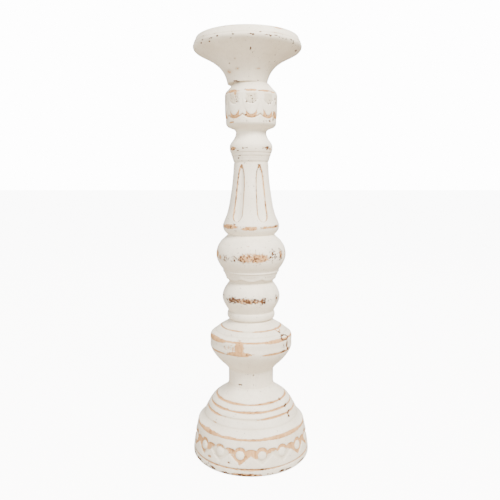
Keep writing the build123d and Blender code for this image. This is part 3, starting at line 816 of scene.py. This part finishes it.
# A seventh number is painted shade, darkening patches on the plate's underside and rim groove
plate.patches([
    (5, 430.5, 1.5, 1.5, 0.2, 0.85),
    (-22, 423.7, 2.4, 0.8, 0.3, 0.80, 0.8),
    (-38, 420.4, 2.8, 0.6, 0.3, 0.40, 0.8),
    (30, 442.9, 9, 0.7, 0.50, 0.2, 0.9),
    (-51.5, 443.6, 6, 0.6, 0.35, 0.3, 0.9),
    (-33.5, 442.9, 4, 0.6, 0.35, 0.3, 0.9),
])
plate.edge(449.2, 1.1, tan=0.55, dark=0.25, seed=63, turns=12, bare=0.25)
# A seventh number is painted shade, strongest on the underside of the plate's flare
plate.patches([
    (34, 448.6, 7, 0.9, 0.85, 0.0, 0.6),
    (-50, 413.8, 12, 2.6, 0.52, 0.0, 1.0),
    (-24, 415.4, 6, 1.5, 0.46, 0.1, 1.0),
    (26, 415.4, 8, 1.1, 0.40, 0.0, 0.8),
    (31.5, 404.8, 2.5, 0.8, 0.5, 0.95),
    (-33, 404.4, 11, 0.8, 0.4, 0.85),
])
# The seat is worn by candles, most of all round the washer
seat = step_up(44.5 - plate.r, 0.0, 3.0) * (plate.z > 444.0)
plate.wear_and_shade(tan=seat * (0.30 + 0.20 * ripple(64, plate.az, plate.r, 9, 0.12)))
# The seat floor below the rim gets painted shade too
plate.wear_and_shade(dark=seat * 0.30 * bell(plate.r - 9.0, 5.0), painted_shade=0.5 * seat)
plate.build("candle_plate_wood", "candle_plate", paint)

# ---------------------------------------------------------------- pricket, washer and felt

spike = Skin([
    [(0.25, 433.0), (2.3, 433.0)],
    [(2.3, 433.0), (2.5, 433.4)],
    [(2.5, 433.4), (2.5, 442.0), (2.5, 450.0)],
    [(2.5, 450.0), (2.1, 452.6), (1.1, 457.8), (0.5, 460.9)],
    [(0.5, 460.9), (0.3, 461.7), (0.1, 462.0)],
], step=0.35, segments=40)
spike.build("candle_spike_steel", "candle_spike", steel)

# Drawn 1.2 mm above its place: build() sets it down to the CAD washer, flush with the seat
washer = Skin([
    [(2.6, 445.0), (7.0, 445.0)],
    [(7.0, 445.0), (7.0, 445.8)],
    [(7.0, 445.8), (6.9, 446.05), (6.6, 446.2)],
    [(6.6, 446.2), (2.9, 446.2)],
    [(2.9, 446.2), (2.6, 445.9)],
], step=0.25, segments=90)
washer.build("spike_washer_steel", "spike_washer", steel, closed=False)

pad = Skin([
    [(0.5, 0.0), (30.0, 0.0), (53.4, 0.0)],
    [(53.4, 0.0), (53.9, 0.3), (54.0, 1.0), (53.8, 2.0)],
    [(53.8, 2.0), (30.0, 2.0), (0.5, 2.0)],
], step=1.6, segments=160)
pad.build("felt_disc", "felt_pad", felt)

for node in ("lower_dowel", "middle_dowel", "upper_dowel", "plate_dowel"):
    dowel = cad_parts[node]
    dowel.data.materials.clear()
    dowel.data.materials.append(dowel_material)

# ---------------------------------------------------------------- floor, light and camera

FLOOR_HALF = 30.0
FLOOR_DROP = 0.0002  # the floor lies this far under the felt
FLOOR_GLOW = 10.0  # lifts the floor to near white for the camera only
AMBIENT = 0.65  # light that the surroundings give to the object
BACKDROP = 14.0  # brightness of the surroundings as the camera sees them
SENSOR_WIDTH = 36.0
LENS = 38.16
CLIP_START = 0.01
CAMERA_PLACE = (-0.0011, -0.5757, 0.2988)
CAMERA_TILT = 83.0  # 90 would look level; this looks 7 degrees down

low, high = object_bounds()
collection = bpy.context.scene.collection

floor_z = low[2] - FLOOR_DROP
corners = [(-1, -1), (1, -1), (1, 1), (-1, 1)]
floor_mesh = bpy.data.meshes.new("floor")
points = [(x * FLOOR_HALF, y * FLOOR_HALF, floor_z) for x, y in corners]
floor_mesh.from_pydata(points, [], [(0, 1, 2, 3)])
floor = bpy.data.objects.new("floor", floor_mesh)
collection.objects.link(floor)
white = Nodes("pale_floor")
paper = white.mix(white.noise(3, 2), srgb("B0A597"), srgb("ABA093"))
floor_mesh.materials.append(white.finish(paper, 0.9, specular=0.1))
straight = white.add("ShaderNodeLightPath").outputs["Is Camera Ray"]
white.put(white.shader.inputs["Emission Color"], WHITE)
white.put(white.shader.inputs["Emission Strength"], white.maths("MULTIPLY", straight, FLOOR_GLOW))

world = bpy.data.worlds.new("studio")
world.use_nodes = True
sky = world.node_tree
ambient = sky.nodes["Background"]
backdrop = sky.nodes.new("ShaderNodeBackground")
for light, strength in ((ambient, AMBIENT), (backdrop, BACKDROP)):
    light.inputs["Color"].default_value = WHITE
    light.inputs["Strength"].default_value = strength
seen = sky.nodes.new("ShaderNodeLightPath")
either = sky.nodes.new("ShaderNodeMixShader")
sky.links.new(seen.outputs["Is Camera Ray"], either.inputs[0])
sky.links.new(ambient.outputs[0], either.inputs[1])
sky.links.new(backdrop.outputs[0], either.inputs[2])
sky.links.new(either.outputs[0], sky.nodes["World Output"].inputs["Surface"])
bpy.context.scene.world = world

# Round lamps: name, place, height of the point aimed at, width in metres, watts and colour.
# Heights are from the middle of the stick.
LAMPS = [
    ("key", (0.55, -0.95, 1.15), 0.0, 0.7, 78.0, (1.0, 0.975, 0.935)),
    ("fill", (-1.1, -0.8, 0.45), 0.0, 1.0, 16.0, (1.0, 0.98, 0.95)),
    ("front", (0.2, -1.7, 0.24), 0.17, 0.8, 11.0, (1.0, 0.985, 0.95)),
    ("back", (0.2, 1.2, 0.9), 0.0, 0.9, 20.0, (1.0, 1.0, 1.0)),
]
middle_z = (low[2] + high[2]) / 2
for name, (x, y, z), aim_z, width, power, colour in LAMPS:
    data = bpy.data.lights.new(name, "AREA")
    data.shape = "DISK"
    data.size = width
    data.energy = power
    data.color = colour
    lamp = bpy.data.objects.new(name, data)
    lamp.location = (x, y, middle_z + z)
    toward = Vector((0, 0, middle_z + aim_z)) - Vector((x, y, middle_z + z))
    lamp.rotation_euler = toward.to_track_quat("-Z", "Y").to_euler()
    collection.objects.link(lamp)

camera_data = bpy.data.cameras.new("camera")
camera_data.sensor_width = SENSOR_WIDTH
camera_data.lens = LENS
camera_data.clip_start = CLIP_START
camera = bpy.data.objects.new("camera", camera_data)
camera.location = CAMERA_PLACE
camera.rotation_euler = (radians(CAMERA_TILT), 0.0, 0.0)
collection.objects.link(camera)
bpy.context.scene.camera = camera
